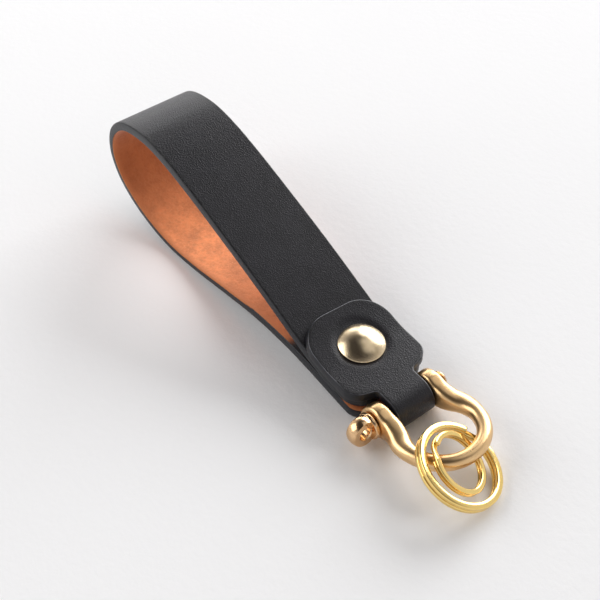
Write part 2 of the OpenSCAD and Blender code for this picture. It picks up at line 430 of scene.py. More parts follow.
def soften(bm, offset, segments=3, limit=30.0):
    """Bevels every edge that turns by more than the limit in degrees."""
    sharp = [e for e in bm.edges if e.is_manifold and e.calc_face_angle() > math.radians(limit)]
    bmesh.ops.bevel(
        bm,
        geom=sharp,
        offset=offset,
        offset_type="OFFSET",
        segments=segments,
        profile=0.5,
        affect="EDGES",
        clamp_overlap=True,
        material=-1,
    )


def extruded(bm, faces, move):
    """Extrudes faces by a move, and returns the faces at its end."""
    new = bmesh.ops.extrude_face_region(bm, geom=faces)["geom"]
    moved = [item for item in new if isinstance(item, bmesh.types.BMVert)]
    bmesh.ops.translate(bm, vec=move, verts=moved)
    return [item for item in new if isinstance(item, bmesh.types.BMFace)]


def both_ways(half_profile):
    """A whole profile from the half of it above height 0."""
    mirrored = [(radius, -height) for radius, height in reversed(half_profile)]
    return mirrored[:-1] + half_profile


def squircle(turn, half_width, half_height, power):
    """A point on a rounded-rectangle section; a power of 2 is an ellipse."""
    c = math.cos(turn)
    s = math.sin(turn)
    across = math.copysign(abs(c) ** (2 / power), c) * half_width
    up = math.copysign(abs(s) ** (2 / power), s) * half_height
    return across, up


def as_object(bm, name, matrix=Matrix.Identity(4)):
    """A finished bmesh as an object at the origin, with its place in its mesh."""
    mesh = bpy.data.meshes.new(name)
    bmesh.ops.transform(bm, matrix=matrix, verts=bm.verts)
    bm.to_mesh(mesh)
    bm.free()
    piece = bpy.data.objects.new(name, mesh)
    bpy.context.scene.collection.objects.link(piece)
    return piece


def cut(piece, cutter):
    """Cuts one object's shape out of another, and removes the cutter."""
    modifier = piece.modifiers.new("cut", "BOOLEAN")
    modifier.operation = "DIFFERENCE"
    modifier.solver = "EXACT"
    modifier.object = cutter
    graph = bpy.context.evaluated_depsgraph_get()
    whole = piece.data
    piece.data = bpy.data.meshes.new_from_object(piece.evaluated_get(graph))
    piece.modifiers.clear()
    bpy.data.meshes.remove(whole)
    bpy.data.objects.remove(cutter)


def settle(piece, body, node, materials, sharp=35.0):
    """Gives a piece its shading, materials and body, and hides the node that it stands for."""
    for material in materials:
        piece.data.materials.append(material)
    for face in piece.data.polygons:
        face.use_smooth = True
    piece.data.set_sharp_from_angle(angle=math.radians(sharp))
    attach(piece, body)
    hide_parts(node)
    return piece


# ---- Strap ----

# Middle line of the strap in millimetres from the rivet, as (x, height, thickness): from the
# hidden inner end, along the upper run, round the back of the loop and along the lower run.
LOOP_ROUTE = (
    (14.6, 5.55, 3.0), (7.0, 6.05, 3.0), (0.0, 6.85, 3.0), (-7.0, 8.95, 3.0), (-14.0, 12.1, 3.0),
    (-28.0, 18.7, 3.0), (-44.0, 25.5, 3.0), (-60.0, 31.8, 3.0), (-72.0, 35.6, 3.0), (-82.0, 36.9, 3.0),
    (-93.0, 34.8, 2.7), (-99.9, 28.6, 2.4), (-101.9, 20.0, 2.2), (-98.4, 11.8, 2.2), (-89.3, 5.3, 2.2),
    (-76.0, 1.6, 2.2), (-62.0, 1.9, 2.2), (-44.0, 4.5, 2.5), (-30.0, 6.1, 2.7), (-16.0, 6.0, 2.9),
    (-6.0, 4.75, 3.0), (3.0, 3.2, 3.0), (11.0, 2.0, 2.9),
)
# The flap's middle line behind the nose, before it follows the upper run
FLAP_START = ((12.5, 9.15, 2.9), (6.0, 9.4, 3.0))
NOSE_RADIUS = 3.9
NOSE_THICKNESS = 2.6
NOSE_STEPS = 12
FLAP_GAP = 0.08
SPAN_STEPS = 12
# Where the cut outline turns, as distances from the rivet along X
INNER_END = 13.2
SHOULDER = 12.0
FAR_SHOULDER = 10.2
NECK = 13.9
FLAP_NECK = 14.4
FLAP_SHOULDER = 12.2
FLAP_NEAR_END = -12.4
FLAP_FAR_END = -11.0
# The hide's thickness while it is flat, and how deep the cap and the screw press into it
HIDE = 3.0
CAP_PRESS = 0.4
SCREW_PRESS = 0.25
# Spacing of the slices that let the strap bend: along it, along the nose, and across it
ALONG_SLICE = 0.9
NOSE_SLICE = 0.45
NOSE_REACH = 8
ACROSS_SLICE = 0.8
ACROSS_REACH = 12.8


def directions(points):
    """Unit vectors to the right of the way that a line of (x, height, ...) points runs."""
    flat = np.array(points)[:, :2]
    way = np.gradient(flat, axis=0)
    way[1:-1] = flat[2:] - flat[:-2]
    right = np.stack([way[:, 1], -way[:, 0]], axis=1)
    return right / np.linalg.norm(right, axis=1)[:, None]


def smooth_line(points):
    """A smooth line through points, finely divided: a cubic on each span, by running length."""
    points = np.array(points)
    steps = np.linalg.norm(np.diff(points[:, :2], axis=0), axis=1)
    run = np.concatenate([[0.0], np.cumsum(steps)])
    slope = np.empty_like(points)
    slope[1:-1] = (points[2:] - points[:-2]) / (run[2:] - run[:-2])[:, None]
    slope[0] = (points[1] - points[0]) / steps[0]
    slope[-1] = (points[-1] - points[-2]) / steps[-1]
    line = []
    for i, span in enumerate(steps):
        for u in np.arange(SPAN_STEPS) / SPAN_STEPS:
            start = points[i] * (2 * u**3 - 3 * u**2 + 1) + slope[i] * span * (u**3 - 2 * u**2 + u)
            end = points[i + 1] * (3 * u**2 - 2 * u**3) + slope[i + 1] * span * (u**3 - u**2)
            line.append(start + end)
    return np.array(line + [points[-1]])


class Former:
    """The line that the strap is bent on: places and thickness by the distance along it."""

    def __init__(self, strap):
        pin_x = strap.pin_reach / MM
        pin_z = PIN_PLACE.z / MM
        nose = []
        for i in range(NOSE_STEPS + 1):
            turn = math.radians(-90 + 180 * i / NOSE_STEPS)
            x = pin_x + NOSE_RADIUS * math.cos(turn)
            z = pin_z + NOSE_RADIUS * math.sin(turn)
            nose.append((x, z, NOSE_THICKNESS))
        lifted = np.array(LOOP_ROUTE)[2:5]
        lifted[:, :2] += directions(LOOP_ROUTE)[2:5] * (lifted[0, 2] + FLAP_GAP)
        route = list(LOOP_ROUTE) + nose + list(FLAP_START) + [tuple(point) for point in lifted]
        self.line = smooth_line(route)
        self.right = directions(self.line)
        gaps = np.linalg.norm(np.diff(self.line[:, :2], axis=0), axis=1)
        self.run = np.concatenate([[0.0], np.cumsum(gaps)])
        self.back = int(np.argmin(self.line[:, 0]))
        self.tip = int(np.argmax(self.line[:, 0]))

    def distance(self, x, first, last):
        """Distance along the line at which a stretch of it passes over x."""
        stretch = slice(first, last)
        xs = self.line[stretch, 0]
        order = np.argsort(xs)
        return float(np.interp(x, xs[order], self.run[stretch][order]))

    def on_lower_run(self, along):
        """Whether each distance along the line lies on the lower run, from the loop's back to the nose."""
        return (along > self.run[self.back]) * (along < self.run[self.tip])

    def bend(self, along, across, height):
        """Places in millimetres for flat ones; height is -0.5 on the flesh and 0.5 on the grain."""
        x, z, thick = (np.interp(along, self.run, self.line[:, k]) for k in range(3))
        right = np.stack([np.interp(along, self.run, self.right[:, k]) for k in range(2)])
        right /= np.linalg.norm(right, axis=0)
        lift = height * thick
        return np.stack([x + right[0] * lift, across, z + right[1] * lift], axis=1)


def strap_pattern(strap, former):
    """The strap's cut outline as (distance along, across, corner radius), in millimetres."""
    half = strap.width / MM / 2
    flap_low = (strap.flap_offset - strap.flap_width / 2) / MM
    flap_high = (strap.flap_offset + strap.flap_width / 2) / MM
    neck_low = (strap.neck_offset - strap.neck_width / 2) / MM
    neck_high = (strap.neck_offset + strap.neck_width / 2) / MM
    end = len(former.line)
    inner = former.distance(INNER_END, 0, former.back)
    shoulder = former.distance(SHOULDER, former.back, former.tip)
    far_shoulder = former.distance(FAR_SHOULDER, former.back, former.tip)
    neck = former.distance(NECK, former.back, former.tip)
    flap_neck = former.distance(FLAP_NECK, former.tip, end)
    flap_shoulder = former.distance(FLAP_SHOULDER, former.tip, end)
    near_end = former.distance(FLAP_NEAR_END, former.tip, end)
    far_end = former.distance(FLAP_FAR_END, former.tip, end)
    return (
        (inner, -half, 6.0), (shoulder, -half, 4.0), (neck, neck_low, 1.8),
        (flap_neck, neck_low, 1.5), (flap_shoulder, flap_low, 5.0), (near_end, flap_low, 8.5),
        (far_end, flap_high, 9.5), (flap_shoulder, flap_high, 4.5), (flap_neck, neck_high, 1.4),
        (neck, neck_high, 1.8), (far_shoulder, half, 4.0), (inner, half, 6.0),
    )


def corner_offset(before, corner, after, radius):
    """How far from a corner an arc of that radius touches its sides."""
    opening = (before - corner).angle(after - corner)
    return radius / math.tan(opening / 2)


def cut_flat(pattern, thickness, edge_round):
    """The strap cut from the hide: rounded corners, thickness and rounded edges, still flat."""
    bm = bmesh.new()
    corners = [bm.verts.new((along, across, 0.0)) for along, across, radius in pattern]
    bm.faces.new(corners)
    places = [corner.co.copy() for corner in corners]
    for i, corner in enumerate(corners):
        radius = pattern[i][2]
        offset = corner_offset(places[i - 1], places[i], places[(i + 1) % len(places)], radius)
        bmesh.ops.bevel(
            bm,
            geom=[corner],
            offset=offset,
            offset_type="OFFSET",
            segments=max(6, int(radius * 2.4)),
            profile=0.5,
            affect="VERTICES",
            material=-1,
        )
    bmesh.ops.translate(bm, vec=(0, 0, -thickness / 2), verts=bm.verts)
    outline = [vert.co.xy.copy() for vert in bm.faces[:][0].verts]
    extruded(bm, bm.faces[:], (0, 0, thickness))
    bmesh.ops.recalc_face_normals(bm, faces=bm.faces)
    soften(bm, edge_round, segments=4, limit=60.0)
    return bm, outline


def slice_across(bm, cuts, direction):
    """Cuts the mesh by parallel planes, so that it can bend."""
    for place in cuts:
        bmesh.ops.bisect_plane(
            bm,
            geom=bm.verts[:] + bm.edges[:] + bm.faces[:],
            dist=1e-4,
            plane_co=Vector(direction) * place,
            plane_no=direction,
        )


def distance_to_outline(points, outline):
    """Distance of each flat point from the cut outline."""
    starts = np.array(outline)
    ends = np.roll(starts, -1, axis=0)
    nearest = np.full(len(points), 1e9)
    for start, end in zip(starts, ends):
        side = end - start
        share = np.clip(((points - start) @ side) / (side @ side), 0.0, 1.0)
        gap = np.linalg.norm(points - start - share[:, None] * side, axis=1)
        nearest = np.minimum(nearest, gap)
    return nearest


def ease(values, low, high):
    """0 below low, 1 above high, smooth between."""
    share = np.clip((values - low) / (high - low), 0.0, 1.0)
    return share * share * (3 - 2 * share)


def strap_cuts(former, pattern):
    """Where the flat strap is sliced along its length: closer together round the nose."""
    first = pattern[0][0]
    last = pattern[5][0]
    nose = former.run[former.tip]
    cuts = [first + 0.3]
    while cuts[-1] < last:
        gap = NOSE_SLICE if abs(cuts[-1] - nose) < NOSE_REACH else ALONG_SLICE
        cuts.append(cuts[-1] + gap)
    return cuts


def pressed_places(strap, rivet, former, along, across, height):
    """Where each flat point goes: bent on the line, and pressed in under the cap and the screw."""
    nose = former.run[former.tip]
    place = former.bend(along, across, height)
    place[:, 1] += np.tan(strap.flap_turn) * place[:, 0] * ease(along, nose - 3, nose + 3)
    reach = np.hypot(place[:, 0], place[:, 1])
    cap = rivet.cap_width / MM / 2
    screw = rivet.screw_width / MM / 2
    seat = (1 - ease(reach, cap - 0.1, cap + 1.5)) * (along > nose) * CAP_PRESS
    under = (1 - ease(reach, screw, screw + 1.2)) * former.on_lower_run(along) * SCREW_PRESS
    pressed = former.bend(along, across, height * (1 - (seat + under) * 2 / HIDE * (height > 0)))
    place[:, 0] = pressed[:, 0]
    place[:, 2] = pressed[:, 2]
    return place


def painted(former, along, x, height, rim):
    """What the strap's materials read at each point, by attribute."""
    back = former.run[former.back]
    nose = former.run[former.tip]
    # The edge is inked through its thickness, but the ink stops part way along the lower run
    lower = ease(along, back - 30, back + 5)
    lower *= 1 - ease(along, nose - 66, nose - 46)
    # Painted shade on the flesh at the back of the loop and towards the rivet
    loop_shading = np.maximum(ease(-x, 64.0, 102.0), 0.7 * ease(x, -66.0, -30.0))
    # Its edges are inked where the runs are burnished together, which also paints shade over the gap between
    # them
    sealed = ease(x, -18.0, -13.5) * (1 - ease(x, 6.0, 8.0)) * former.on_lower_run(along)
    return {
        "rim": rim * MM,
        "depth": height + 0.5,
        "ink_line": lower * 0.34 - 0.2,
        "loop_depth": loop_shading * (height < 0),
        "sealed": sealed,
        # The flap, where a painted highlight runs along the crest
        "rubbed": ease(along, nose - 3, nose + 3),
    }


def make_strap(strap, rivet):
    """The leather strap: cut flat, edges rounded, bent on its line and pressed round the rivet."""
    former = Former(strap)
    pattern = strap_pattern(strap, former)
    bm, outline = cut_flat(pattern, HIDE, strap.edge_round / MM)
    bm.normal_update()
    for face in bm.faces:
        face.material_index = 0 if face.normal.z > 0.6 else 2 if face.normal.z < -0.97 else 1
    slice_across(bm, strap_cuts(former, pattern), (1, 0, 0))
    slice_across(bm, np.arange(-ACROSS_REACH, ACROSS_REACH + 0.01, ACROSS_SLICE), (0, 1, 0))

    flat = np.array([vert.co for vert in bm.verts])
    along, across, height = flat[:, 0], flat[:, 1], flat[:, 2] / HIDE
    rim = distance_to_outline(flat[:, :2], outline)
    place = pressed_places(strap, rivet, former, along, across, height)
    middle = Vector((PIN_PLACE.x - strap.pin_reach, (STRAP_LOW.y + STRAP_HIGH.y) / 2, 0.0))
    for vert, spot in zip(bm.verts, place):
        vert.co = Vector(spot) * MM + middle
    bmesh.ops.recalc_face_normals(bm, faces=bm.faces)
    piece = as_object(bm, "strap_leather")

    for name, values in painted(former, along, place[:, 0], height, rim).items():
        attribute = piece.data.attributes.new(name, "FLOAT", "POINT")
        attribute.data.foreach_set("value", values.astype(np.float32))
    materials = [black_grain(strap), inked_edge(strap), tan_flesh(strap)]
    return settle(piece, "strap", "leather_strap", materials, sharp=50.0)


# ---- Rivet ----

# Heights on the rivet's own axis, from the surface under it
CAP_SEAT = 11.2 * MM
SCREW_SEAT = 2.3 * MM


def rivet_frame(strap, rivet):
    """The rivet's own upright frame, leaning so that its cap sits over the rivet's place."""
    foot_x = PIN_PLACE.x - strap.pin_reach - CAP_SEAT * math.sin(rivet.lean)
    foot = Vector((foot_x, (STRAP_LOW.y + STRAP_HIGH.y) / 2, 0.0))
    return Matrix.Translation(foot) @ Matrix.Rotation(rivet.lean, 4, "Y")


def turned_brass(name, tint, matrix):
    """Pale brass faced on a lathe: fine rings about the rivet's axis and a soft tarnish."""
    finish = Finish(name, Metallic=1.0)
    here = finish.node(
        "ShaderNodeMapping",
        {"vector_type": "TEXTURE"},
        {"Vector": finish.place, "Location": matrix.to_translation(), "Rotation": matrix.to_euler()},
    )
    rings = finish.node(
        "ShaderNodeTexWave",
        {"wave_type": "RINGS", "rings_direction": "Z", "wave_profile": "SIN"},
        {"Vector": here, "Scale": 1100.0, "Distortion": 1.5, "Detail": 2.0, "Detail Scale": 900.0},
    )
    cloud = finish.noise(210.0, 5.0, 0.65, here)
    specks = finish.noise(1900.0, 4.0, 0.8, here)
    red, green, blue = tint
    dull = shade((red, green * 0.9, blue * 0.72), 0.6)
    tone = finish.mix(cloud.step(0.42, 0.78) * 0.55, tint, dull)
    tone = finish.mix(specks.step(0.60, 0.80) * 0.3, tone, shade(tint, 0.55))
    finish.set(
        Base_Color=tone,
        Roughness=0.15 + cloud * 0.10 + specks * 0.06,
        Normal=finish.bump(rings + specks * 0.8, 0.000006, 0.9),
    )
    return finish.material


def make_cap(rivet, matrix, brass):
    """The rivet's post: a barrel under a domed cap with a low rim."""
    half = rivet.cap_width / 2
    rim = 0.75 * MM
    dome = (half * half + rivet.cap_height**2) / (2 * rivet.cap_height)
    widest = math.asin(half / dome)
    crown = CAP_SEAT + rim - 0.15 * MM + rivet.cap_height - dome
    steps = 22
    leans = [widest * (1 - i / steps) for i in range(steps)]
    arc = [(dome * math.sin(lean), crown + dome * math.cos(lean)) for lean in leans]
    barrel = 2.5 * MM
    bm = bmesh.new()
    turned(
        bm,
        [(0.0, CAP_SEAT - 7.0 * MM), (barrel, CAP_SEAT - 7.0 * MM), (barrel, CAP_SEAT)]
        + [(half - 0.25 * MM, CAP_SEAT - 0.15 * MM), (half, CAP_SEAT + 0.1 * MM)]
        + arc
        + [(0.0, crown + dome)],
        steps=128,
    )
    soften(bm, 0.14 * MM, segments=3, limit=28.0)
    cap = as_object(bm, "rivet_cap", matrix)
    settle(cap, "strap", "rivet_post", [brass])


def make_screw(rivet, matrix, brass):
    """The slotted screw that closes the rivet from below."""
    head = 1.4 * MM
    slot_depth = 0.6 * MM
    bm = bmesh.new()
    bmesh.ops.create_circle(bm, cap_ends=True, segments=96, radius=rivet.screw_width / 2)
    slice_across(bm, (-rivet.slot_width / 2, rivet.slot_width / 2), (1, 0, 0))
    floor = extruded(bm, bm.faces[:], (0, 0, slot_depth - head))
    cheeks = [face for face in floor if abs(face.calc_center_median().x) > rivet.slot_width]
    extruded(bm, cheeks, (0, 0, -slot_depth))
    bmesh.ops.delete(bm, geom=cheeks, context="FACES_ONLY")
    bmesh.ops.recalc_face_normals(bm, faces=bm.faces)
    soften(bm, 0.16 * MM, segments=3, limit=50.0)
    screw = as_object(bm, "slotted_screw", matrix @ Matrix.Translation((0, 0, SCREW_SEAT)))
    settle(screw, "strap", "rivet_screw", [brass])


def make_rivet(strap, rivet):
    """The rivet's two pieces, in one brass."""
    matrix = rivet_frame(strap, rivet)
    pale = turned_brass("pale_turned_brass", rivet.brass, matrix)
    make_cap(rivet, matrix, pale)
    make_screw(rivet, matrix, pale)


# ---- Shackle ----

# Places along the pin's axis from the middle of the bow
PIN_HEAD = -14.6 * MM
PIN_TIP = 13.2 * MM


def shackle_frame(shackle):
    """The bow's own frame: X from the pin to the crown, Z off the bow's plane."""
    return Matrix.Translation(PIN_PLACE) @ Matrix.Rotation(-shackle.rise, 4, "Y")


def pin_frame(shackle):
    """The pin's own frame: Z along its axis to the far ear, X along the eye's axis."""
    upright = Matrix.Rotation(math.radians(-90), 4, "X")
    return Matrix.Translation(PIN_PLACE) @ upright @ Matrix.Rotation(-shackle.eye_rise, 4, "Z")


def between(value, keys):
    """A smooth value between (place, value) keys."""
    for (a, first), (b, second) in zip(keys, keys[1:]):
        if value <= b:
            share = max(0.0, (value - a) / (b - a))
            return first + (second - first) * share * share * (3 - 2 * share)
    return keys[-1][1]


class BowLine:
    """Half of the bow's middle line, from the far end of an ear to the crown."""

    SWEEP = math.radians(115)

    def __init__(self, shackle):
        self.shackle = shackle
        self.ear = shackle.ear_width / 2
        turn = self.SWEEP - math.radians(90)
        end_x = shackle.reach + shackle.radius * math.cos(self.SWEEP)
        end_y = shackle.radius * math.sin(self.SWEEP)
        self.back_radius = (end_y - shackle.ear_place) / (1 - math.cos(turn))
        self.straight = end_x - self.back_radius * math.sin(turn)
        self.bend_run = self.back_radius * turn
        self.round_run = shackle.radius * self.SWEEP
        self.total = self.ear + self.straight + self.bend_run + self.round_run

    def at(self, run):
        """Place and heading at a running length from the ear's far end."""
        flat = self.ear + self.straight
        if run <= flat:
            return Vector((run - self.ear, self.shackle.ear_place)), 0.0
        if run <= flat + self.bend_run:
            angle = (run - flat) / self.back_radius
            centre = Vector((self.straight, self.shackle.ear_place + self.back_radius))
            return centre + Vector((math.sin(angle), -math.cos(angle))) * self.back_radius, angle
        angle = self.SWEEP - (run - flat - self.bend_run) / self.shackle.radius
        around = Vector((math.cos(angle), math.sin(angle))) * self.shackle.radius
        return Vector((self.shackle.reach, 0.0)) + around, angle - math.radians(90)

    def section(self, run):
        """Half width, half height and squareness of the forged bar."""
        x = run - self.ear
        thick = self.shackle.ear_thickness / 2
        wide = self.shackle.shoulder / 2
        crown = self.shackle.crown / 2
        forged = ((3 * MM, thick), (11 * MM, wide * 0.97), (14.5 * MM, wide))
        drawn = ((21 * MM, crown * 1.08), (self.total, crown))
        half = between(run, forged + drawn)
        bar = between(x, ((1 * MM, 3.9 * MM), (12 * MM, 2.15 * MM), (self.total, 2.0 * MM)))
        bar *= between(x, ((-3 * MM, 0.0), (1.5 * MM, 1.0)))
        disc = math.sqrt(max(self.ear**2 - x * x, 0.0))
        blend = 8
        height = (disc**blend + bar**blend) ** (1 / blend)
        power = between(run, ((self.ear, 4.6), (10 * MM, 3.0), (15 * MM, 2.35), (self.total, 2.1)))
        return half, height, power


def make_bow(shackle):
    """The forged bow: ears, shoulders and crown in one bar, then bored for the pin."""
    line = BowLine(shackle)
    matrix = shackle_frame(shackle)
    ear_share = 0.16

    def run_at(share):
        """Running length along half the bow, closer together round the ear's end."""
        if share < ear_share:
            return line.ear * (1 - math.cos(math.radians(90) * share / ear_share))
        return line.ear + (line.total - line.ear) * (share - ear_share) / (1 - ear_share)

    def place(u, w):
        side = 1 if u < 0.5 else -1
        run = run_at(min(2 * u, 2 - 2 * u))
        middle, heading = line.at(run)
        half, height, power = line.section(run)
        across, up = squircle(math.tau * w, half, height, power)
        out = Vector((-math.sin(heading), math.cos(heading))) * across
        return Vector((middle.x + out.x, side * (middle.y + out.y), up))

    bm = bmesh.new()
    formed(bm, 260, 48, place)
    bow = as_object(bm, "bow", matrix)

    bore = shackle.pin_width / 2 + 0.07 * MM
    far = 20 * MM
    outer = shackle.ear_place + shackle.ear_thickness / 2
    inner = shackle.ear_place - shackle.ear_thickness / 2
    flare = 0.35 * MM
    half_profile = [(bore + flare, 0.0), (bore + flare, inner), (bore, inner + flare), (bore, outer - flare)]
    half_profile += [(bore + flare, outer), (bore + flare, far)]
    bm = bmesh.new()
    turned(bm, [(0.0, -far)] + both_ways(half_profile) + [(0.0, far)], steps=72)
    crosswise = Matrix.Rotation(math.radians(-90), 4, "X")
    cut(bow, as_object(bm, "bore_cutter", Matrix.Translation(PIN_PLACE) @ crosswise))
    satin = worked_brass("satin_brass", shackle.bow_brass, 0.26, tarnish=0.24, bump=0.0000022)
    return settle(bow, "shackle", "shackle_bow", [satin])


def pin_head(shackle, matrix):
    """The pin's rounded head, with two flats and an eye."""
    flats_end = PIN_HEAD + 2.6 * MM
    ball = shackle.head_width / 2
    flat = shackle.head_thickness / 2
    bm = bmesh.new()
    bmesh.ops.create_uvsphere(bm, u_segments=64, v_segments=48, radius=ball)
    head = as_object(bm, "pin_head", matrix @ Matrix.Translation((0, 0, PIN_HEAD)))
    for side in (-1, 1):
        bm = bmesh.new()
        bmesh.ops.create_cube(bm, size=1.0)
        block = Matrix.Translation((side * (flat + ball), 0, flats_end - 1.5 * ball))
        block @= Matrix.Diagonal((2 * ball, 3 * ball, 3 * ball, 1.0))
        cut(head, as_object(bm, "flat_cutter", matrix @ block))
    bm = bmesh.new()
    bm.from_mesh(head.data)
    soften(bm, 0.28 * MM, segments=4, limit=25.0)
    bm.to_mesh(head.data)
    bm.free()

    eye = shackle.eye_width / 2
    lip = 0.3 * MM
    bm = bmesh.new()
    half_profile = [(eye, 0.0), (eye, flat - lip), (eye + lip, flat), (eye + 2 * lip, flat + lip)]
    turned(bm, [(0.0, -flat - lip)] + both_ways(half_profile) + [(0.0, flat + lip)], steps=48)
    aim = Matrix.Translation((0, 0, PIN_HEAD)) @ Matrix.Rotation(math.radians(90), 4, "Y")
    cut(head, as_object(bm, "eye_cutter", matrix @ aim))
    return head


def pin_shank(shackle, matrix):
    """The pin's collar and shank, and its thread as one ridge wound round the core."""
    shank = shackle.pin_width / 2
    collar_top = -shackle.ear_place - shackle.ear_thickness / 2 - 0.45 * MM
    collar_low = PIN_HEAD + 1.9 * MM
    collar = 3.75 * MM
    thread_from = 5.6 * MM
    core = shank - 0.28 * MM
    bm = bmesh.new()
    turned(
        bm,
        [(0.0, collar_low), (collar - 0.12 * MM, collar_low), (collar, collar_low + 0.4 * MM)]
        + [(collar, collar_top - 0.25 * MM), (collar - 0.3 * MM, collar_top), (shank, collar_top)]
        + [(shank, thread_from), (core, thread_from + 0.3 * MM), (core, PIN_TIP - 0.3 * MM)]
        + [(core - 0.35 * MM, PIN_TIP), (0.0, PIN_TIP)],
        steps=72,
    )
    soften(bm, 0.1 * MM, segments=2, limit=40.0)
    pitch = 0.8 * MM
    turns = int((PIN_TIP - thread_from - 1.0 * MM) / pitch)
    ridge = [(core - 0.1 * MM, -0.38 * MM), (shank - 0.02 * MM, -0.07 * MM), (shank - 0.02 * MM, 0.07 * MM)]
    ridge += [(core - 0.1 * MM, 0.38 * MM)]
    points = [bm.verts.new((radius, 0.0, thread_from + 0.6 * MM + height)) for radius, height in ridge]
    loop = [bm.edges.new(pair) for pair in zip(points, points[1:] + points[:1])]
    steps = 40 * turns
    bmesh.ops.spin(
        bm,
        geom=points + loop,
        cent=(0, 0, 0),
        axis=(0, 0, 1),
        dvec=(0, 0, pitch * turns / steps),
        angle=math.tau * turns,
        steps=steps,
    )
    bmesh.ops.holes_fill(bm, edges=[edge for edge in bm.edges if edge.is_boundary])
    bmesh.ops.recalc_face_normals(bm, faces=bm.faces)
    return as_object(bm, "pin_shank", matrix)


def make_pin(shackle):
    """The pin: its head and its shank joined in one mesh."""
    matrix = pin_frame(shackle)
    head = pin_head(shackle, matrix)
    body = pin_shank(shackle, matrix)
    bm = bmesh.new()
    bm.from_mesh(head.data)
    bm.from_mesh(body.data)
    for part in (head, body):
        bpy.data.objects.remove(part)
    pin = as_object(bm, "pin")
    warm = worked_brass("warm_brass", shackle.pin_brass, 0.16, tarnish=0.4, bump=0.000004)
    return settle(pin, "pin", "shackle_pin", [warm])


# ---- Split rings ----


def make_ring(name, node, body, radius, wire, turn, bearing, lean, opening, hand, material):
    """A split ring: a flat-sided wire coiled twice, stepping from one turn to the other."""
    low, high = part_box(node)
    centre = (low + high) / 2
    matrix = Matrix.Translation(centre) @ Matrix.Rotation(bearing, 4, "Z") @ Matrix.Rotation(lean, 4, "Y")
    step = math.radians(34)
    total = 2 * math.tau - step
    gap = 0.03 * MM
    chamfer = 0.22 * MM / (radius * total)

    def place(u, w):
        turned_by = u * total
        climb = (turned_by - (math.tau - step)) / step
        share = min(max(climb, 0.0), 1.0)
        level = (share * share * (3 - 2 * share) - 0.5) * (turn + gap)
        end = min(u, 1 - u) / chamfer
        shrink = 1.0 if end >= 1 else 0.80 + 0.20 * math.sqrt(max(end * (2 - end), 0.0))
        across, up = squircle(math.tau * w, wire / 2 * shrink, turn / 2 * shrink, 4.2)
        heading = opening + hand * (step / 2 + turned_by)
        out = radius + across
        return Vector((out * math.cos(heading), out * math.sin(heading), level + up))

    bm = bmesh.new()
    along = 420
    formed(bm, along, 28, lambda u, w: place(spread_ends(u, along), w))
    ring = as_object(bm, name, matrix)
    return settle(ring, body, node, [material])


def spread_ends(u, along):
    """Moves the stations next to each end closer to it, so that the wire's ends are crisp."""
    station = round(u * along)
    close = 4
    if station <= close:
        return station / close * 0.0016
    if station >= along - close:
        return 1 - (along - station) / close * 0.0016
    return 0.0016 + (station - close) / (along - 2 * close) * (1 - 0.0032)


# ---- Stage ----


def aimed(kind, name, place, target, up=(0, 0, 1)):
    """An object of some kind that looks from one point at another."""
    thing = bpy.data.objects.new(name, kind)
    bpy.context.scene.collection.objects.link(thing)
    back = (Vector(place) - Vector(target)).normalized()
    right = Vector(up).cross(back).normalized()
    matrix = Matrix((right, back.cross(right), back)).transposed().to_4x4()
    matrix.translation = Vector(place)
    thing.matrix_world = matrix
    return thing


def soft_box(name, place, size, power, tint=(1.0, 1.0, 1.0)):
    """A soft studio light aimed at the object."""
    light = bpy.data.lights.new(name, "AREA")
    light.shape = "RECTANGLE"
    light.size, light.size_y = size
    light.energy = power
    light.color = tint
    return aimed(light, name, place, (0.0, 0.0, 0.01))


